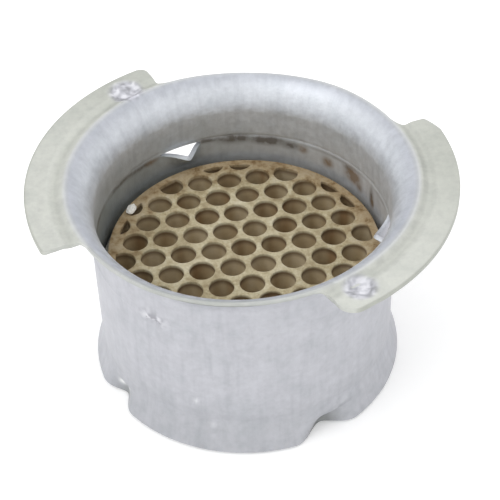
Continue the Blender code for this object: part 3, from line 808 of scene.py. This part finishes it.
    kept = addNode(tree, "VectorMath", {0: landed, 1: level}, operation="ADD")
    liners = addNode(tree, "GeometryNodeSetPosition", {"Geometry": tubes, "Position": kept})
    skin = roundedTube(given["Radius"], disc["skinSides"], -1.0)
    walls = addNode(tree, "GeometryNodeJoinGeometry")
    feed(tree, walls, {0: liners})
    feed(tree, walls, {0: skin})
    nearTop = addNode(tree, "Math", {0: half, 1: 0.01 * mm}, operation="SUBTRACT")
    isTop = addNode(tree, "FunctionNodeCompare", {
        0: xyz.outputs["Z"], 1: nearTop}, data_type="FLOAT", operation="GREATER_THAN")
    mouths = addNode(tree, "GeometryNodeMeshToCurve", {"Mesh": walls, "Selection": isTop})
    fill = addNode(tree, "GeometryNodeFillCurve", {"Curve": mouths})
    up = addNode(tree, "CombineXYZ", {"Z": half})
    down = addNode(tree, "VectorMath", {0: up, "Scale": -1.0}, operation="SCALE")
    topFace = addNode(tree, "GeometryNodeTransform", {"Geometry": fill, "Translation": up})
    under = addNode(tree, "GeometryNodeFlipFaces", {0: fill})
    bottomFace = addNode(tree, "GeometryNodeTransform", {"Geometry": under, "Translation": down})
    whole = addNode(tree, "GeometryNodeJoinGeometry")
    for part in (walls, topFace, bottomFace):
        feed(tree, whole, {0: part})
    merged = addNode(tree, "GeometryNodeMergeByDistance", {
        "Geometry": whole, "Distance": disc["weld"] * mm})
    # fired ceramic is never quite flat
    waves = addNode(tree, "TexNoise", {"Vector": spot, "Scale": 1 / (disc["waveSize"] * mm), "Detail": 2.0})
    centred = addNode(tree, "VectorMath", {
        0: waves.outputs["Color"], 1: (0.5, 0.5, 0.5)}, operation="SUBTRACT")
    push = addNode(tree, "VectorMath", {0: centred, "Scale": given["Unevenness"]}, operation="SCALE")
    uneven = addNode(tree, "GeometryNodeSetPosition", {"Geometry": merged, "Offset": push})
    middle = addNode(tree, "CombineXYZ", {"X": disc["offCentre"] * mm, "Z": given["Middle Height"]})
    tilt = radians(disc["tilt"])
    placed = addNode(tree, "GeometryNodeTransform", {
        "Geometry": uneven, "Translation": middle, "Rotation": (tilt, tilt, 0)})
    real = addNode(tree, "GeometryNodeRealizeInstances", {0: placed})
    painted = addNode(tree, "GeometryNodeSetMaterial", {"Geometry": real, "Material": material})
    addNode(tree, "NodeGroupOutput", {0: painted})
    return tree, sizes


def makeHoneycombDisc():
    material = cordierite()
    tree, sizes = honeycombTree(material)
    piece = newPiece("honeycombDisc", bpy.data.meshes.new("honeycombDisc"))
    nodes = piece.modifiers.new("honeycomb", "NODES")
    nodes.node_group = tree
    for item in tree.interface.items_tree:
        if item.item_type == "SOCKET" and item.in_out == "INPUT":
            nodes[item.identifier] = sizes[item.name]
    bakeModifiers(piece)
    piece.data.shade_smooth()
    attach(piece, "honeycomb_disc")


makeHoneycombDisc()


# turned rings: section points are (radius, height), going round anticlockwise
def roundedSection(inner, outer, low, high, corner, steps):
    points = []
    left, right, bottom, top = inner + corner, outer - corner, low + corner, high - corner
    for centreR, centreZ, start in ((right, bottom, -90), (right, top, 0), (left, top, 90), (left, bottom, 180)):
        for i in range(steps + 1):
            turn = radians(start + 90 * i / steps)
            points.append((centreR + corner * cos(turn), centreZ + corner * sin(turn)))
    return points


# the section again, with more points on the sides between its corners
def cutSides(section, cutsFor):
    full = []
    for a, b in zip(section, section[1:] + section[:1]):
        cuts = cutsFor(abs(b[0] - a[0]), abs(b[1] - a[1]))
        full += [(a[0] + (b[0] - a[0]) * i / cuts, a[1] + (b[1] - a[1]) * i / cuts) for i in range(cuts)]
    return full


def turnRing(section, steps):
    section = np.array(section)
    turns = np.linspace(0, 2 * pi, steps, endpoint=False)
    points = np.stack([np.outer(np.cos(turns), section[:, 0]), np.outer(np.sin(turns), section[:, 0]),
                       np.tile(section[:, 1], (steps, 1))], axis=-1)
    count = len(section)
    faces = []
    for i in range(steps):
        here, there = i * count, (i + 1) % steps * count
        for j in range(count):
            k = (j + 1) % count
            faces.append((here + j, there + j, there + k, here + k))
    return points.reshape(-1, 3), faces


# a smooth-shaded piece with its one material
def smoothPiece(name, mesh, material):
    mesh.shade_smooth()
    mesh.materials.append(material)
    return newPiece(name, mesh)


wrapLow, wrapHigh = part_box("fibre_wrap")
wrap = {
    "clear": 0.15, "corner": 0.4, "lump": 0.16, "innerLump": 0.1, "lumpSize": 2.6,
    "fray": 0.5, "frayDepth": 1.5, "fraySize": 1.4, "steps": 300, "sideCut": 1.2,
}


def ceramicFibre():
    # needled ceramic fibre paper: soft, dull off-white, greyed by heat and painted darker as shade in its gap,
    # with short matted threads
    material, tree, shader = newMaterial("ceramicFibrePaper")
    spot = addNode(tree, "TexCoord").outputs["Object"]
    squash = addNode(tree, "Mapping", {"Vector": spot, "Scale": (1, 1, 3)})
    threads = addNode(tree, "TexNoise", {
        "Vector": squash, "Scale": 1 / (0.8 * mm), "Detail": 5.0, "Distortion": 1.2})
    patches = addNode(tree, "TexNoise", {"Vector": spot, "Scale": 1 / (6 * mm), "Detail": 3.0})
    pale = addNode(tree, "ValToRGB", {"Fac": threads}, stops=[
        (0.3, "#8E8A80"), (0.6, "#C9C5BA"), (0.8, "#DEDAD0")])
    # painted shade: the patches darken the fibre towards the shade of the gap round the disc
    grey = addNode(tree, "Mix", {0: patches, 6: pale, 7: "#7F7668"}, **tinting)
    bump = addNode(tree, "Bump", {"Height": threads, "Strength": 0.8, "Distance": 0.3 * mm})
    feed(tree, shader, {"Base Color": grey, "Roughness": 1.0, "Sheen Weight": 0.25, "Normal": bump})
    return material


def makeFibreWrap():
    outer = wrapHigh.x / mm
    # the disc lies off centre, so the wrap is thinner on one side
    inner = discHigh.x / mm + disc["grow"] + disc["offCentre"] + wrap["clear"]
    low, high = wrapLow.z / mm, wrapHigh.z / mm
    section = cutSides(roundedSection(inner, outer, low, high, wrap["corner"], 4),
                       lambda across, up: max(1, int(up / wrap["sideCut"])))
    points, faces = turnRing(section, wrap["steps"])
    turn = np.arctan2(points[:, 1], points[:, 0])
    reach = np.hypot(points[:, 0], points[:, 1])
    middle = 0.5 * (inner + outer)
    reach -= wrap["lump"] * (0.5 + 0.5 * lumps(points, wrap["lumpSize"], 5)) * (reach > middle)
    bulge = wrap["innerLump"] * (1 + lumps(points, wrap["lumpSize"], 6))
    reach -= np.where(reach < middle, disc["offCentre"] * (1 - np.cos(turn)) - bulge, 0)
    frayed = smoothStep((points[:, 2] - high + wrap["frayDepth"]) / wrap["frayDepth"])
    points[:, 2] -= wrap["fray"] * frayed * (0.5 + 0.5 * lumps(points, wrap["fraySize"], 7))
    points[:, 0], points[:, 1] = reach * np.cos(turn), reach * np.sin(turn)
    piece = smoothPiece("fibreWrap", meshFrom("fibreWrap", points, faces), ceramicFibre())
    attach(piece, "fibre_wrap")


ringLow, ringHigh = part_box("support_ring")
plate = {"land": 5.7, "corner": 0.16, "wave": 0.05, "waveSize": 11.0, "steps": 256, "flatCuts": 8}


def stainlessSteel():
    # stamped stainless ring: satin grey with fine turning marks round it and a straw-blue heat tint
    material, tree, shader = newMaterial("stampedStainlessSteel")
    spot = addNode(tree, "TexCoord").outputs["Object"]
    parts = addNode(tree, "SeparateXYZ", {0: spot})
    plan = addNode(tree, "CombineXYZ", {"X": parts.outputs["X"], "Y": parts.outputs["Y"]})
    reach = addNode(tree, "VectorMath", {0: plan}, operation="LENGTH")
    lines = addNode(tree, "CombineXYZ", {"X": reach, "Z": parts.outputs["Z"]})
    turned = addNode(tree, "TexNoise", {"Vector": lines, "Scale": 1 / (0.35 * mm), "Detail": 3.0})
    patches = addNode(tree, "TexNoise", {"Vector": spot, "Scale": 1 / (8 * mm), "Detail": 4.0})
    tint = addNode(tree, "ValToRGB", {"Fac": patches}, stops=[
        (0.34, "#8F8A82"), (0.5, "#A7A29A"), (0.66, "#A0A3AC")])
    satin = addNode(tree, "MapRange", {"Value": turned, 1: 0.3, 2: 0.7, 3: 0.3, 4: 0.5})
    bump = addNode(tree, "Bump", {"Height": turned, "Strength": 0.3, "Distance": 0.05 * mm})
    feed(tree, shader, {"Base Color": tint, "Metallic": 1.0, "Roughness": satin, "Normal": bump})
    return material


def makeSupportRing():
    outer = ringHigh.x / mm
    section = roundedSection(outer - plate["land"], outer, ringLow.z / mm, ringHigh.z / mm,
                             plate["corner"], 3)
    section = cutSides(section, lambda across, up: plate["flatCuts"] if across > 1 else 1)
    points, faces = turnRing(section, plate["steps"])
    points[:, 2] += plate["wave"] * lumps(points * [1, 1, 0], plate["waveSize"], 8)
    piece = smoothPiece("supportRing", meshFrom("supportRing", points, faces), stainlessSteel())
    attach(piece, "support_ring")


makeFibreWrap()
makeSupportRing()


# cement dab
dabLow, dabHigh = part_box("cement_dab")
dab = {
    "angle": 162.0, "size": (1.2, 1.9, 0.62), "lump": 0.3, "lumpSize": 0.55, "flatBelow": -0.75,
    "shift": (1.0, -0.7, -0.25), "finish": 5,
}


def refractoryCement():
    # dried refractory cement: chalky off-white, gritty, a little stained
    material, tree, shader = newMaterial("refractoryCement")
    spot = addNode(tree, "TexCoord").outputs["Object"]
    grit = addNode(tree, "TexNoise", {"Vector": spot, "Scale": 1 / (0.35 * mm), "Detail": 4.0})
    pale = addNode(tree, "ValToRGB", {"Fac": grit}, stops=[(0.3, "#CFCBC0"), (0.6, "#F0EEE8")])
    bump = addNode(tree, "Bump", {"Height": grit, "Strength": 0.6, "Distance": 0.15 * mm})
    feed(tree, shader, {"Base Color": pale, "Roughness": 0.95, "Normal": bump})
    return material


def makeCementDab():
    bm = bmesh.new()
    bmesh.ops.create_icosphere(bm, subdivisions=dab["finish"], radius=1.0)
    across, along, rise = dab["size"]
    for vert in bm.verts:
        vert.co *= 1 - dab["lump"] * (0.5 + 0.5 * noise.noise(vert.co / dab["lumpSize"]))
        x, y, z = vert.co
        vert.co = Vector((x * across, y * along, max(z, dab["flatBelow"]) * rise)) * mm
    middle = 0.5 * (dabLow + dabHigh) + Vector(dab["shift"]) * mm
    bm.transform(Matrix.Translation(middle) @ Matrix.Rotation(radians(dab["angle"]), 4, "Z"))
    mesh = bpy.data.meshes.new("cementDab")
    bm.to_mesh(mesh)
    bm.free()
    attach(smoothPiece("cementDab", mesh, refractoryCement()), "cement_dab")


makeCementDab()
